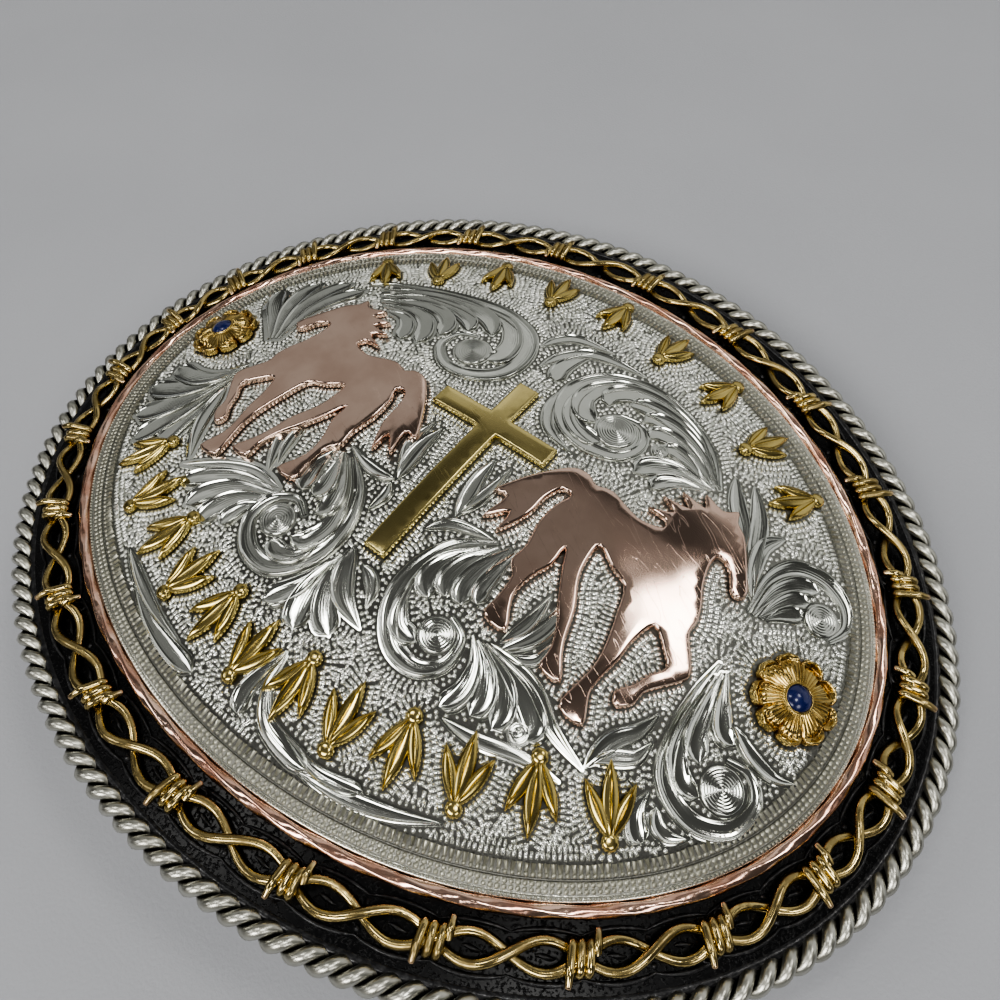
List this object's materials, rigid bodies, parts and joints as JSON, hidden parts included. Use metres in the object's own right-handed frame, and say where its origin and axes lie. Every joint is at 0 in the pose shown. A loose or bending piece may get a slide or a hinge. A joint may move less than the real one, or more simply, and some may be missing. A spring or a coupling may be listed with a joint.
{
  "type": "rodeo belt buckle",
  "caption": "Oval western trophy belt buckle with a rope edge, barbed wire border, engraved domed plate, cross, horses and rosettes.",
  "frame": {"origin": "middle of the bounding box's base, on the surface that the buckle lies on", "axes": "+X along the length, to the right as seen from the front; +Y up on the buckle; +Z out of its face"},
  "size_m": [0.108, 0.0874, 0.0172],
  "materials": {
    "blackened_plate": "black oxidised metal with a faint gloss and embossed lines",
    "silver_rope": "bright twisted silver wire, dark between its lobes",
    "bronze_wire": "worn bronze wire with a soft shine",
    "copper_wire": "polished copper wire",
    "engraved_silver": "bright engraved German silver",
    "polished_brass": "flat polished brass with fine scratches",
    "polished_copper": "polished copper with fine scratches and lighter edges",
    "bronze_rosette": "gilt bronze with engraved rays",
    "blue_stone": "dark blue polished stone",
    "plain_nickel_silver": "plain satin nickel silver",
    "gilt_sprig": "gilt brass with soft scratches"
  },
  "bodies": {
    "root": {"base_plate": "blackened_plate", "outer_rope": "silver_rope", "barbed_wire": "bronze_wire", "copper_rope": "copper_wire", "silver_plate": "engraved_silver", "cross": "polished_brass", "horse_right": "polished_copper", "horse_left": "polished_copper", "flower_right": "bronze_rosette", "flower_left": "bronze_rosette", "stone_right": "blue_stone", "stone_left": "blue_stone", "belt_loop": "plain_nickel_silver", "hook": "plain_nickel_silver", "upper_sprig_1": "gilt_sprig", "upper_sprig_2": "gilt_sprig", "upper_sprig_3": "gilt_sprig", "upper_sprig_4": "gilt_sprig", "upper_sprig_5": "gilt_sprig", "upper_sprig_6": "gilt_sprig", "upper_sprig_7": "gilt_sprig", "upper_sprig_8": "gilt_sprig", "upper_sprig_9": "gilt_sprig", "lower_sprig_1": "gilt_sprig", "lower_sprig_2": "gilt_sprig", "lower_sprig_3": "gilt_sprig", "lower_sprig_4": "gilt_sprig", "lower_sprig_5": "gilt_sprig", "lower_sprig_6": "gilt_sprig", "lower_sprig_7": "gilt_sprig", "lower_sprig_8": "gilt_sprig", "lower_sprig_9": "gilt_sprig", "lower_sprig_10": "gilt_sprig", "lower_sprig_11": "gilt_sprig", "lower_sprig_12": "gilt_sprig"}
  },
  "joints": []
}
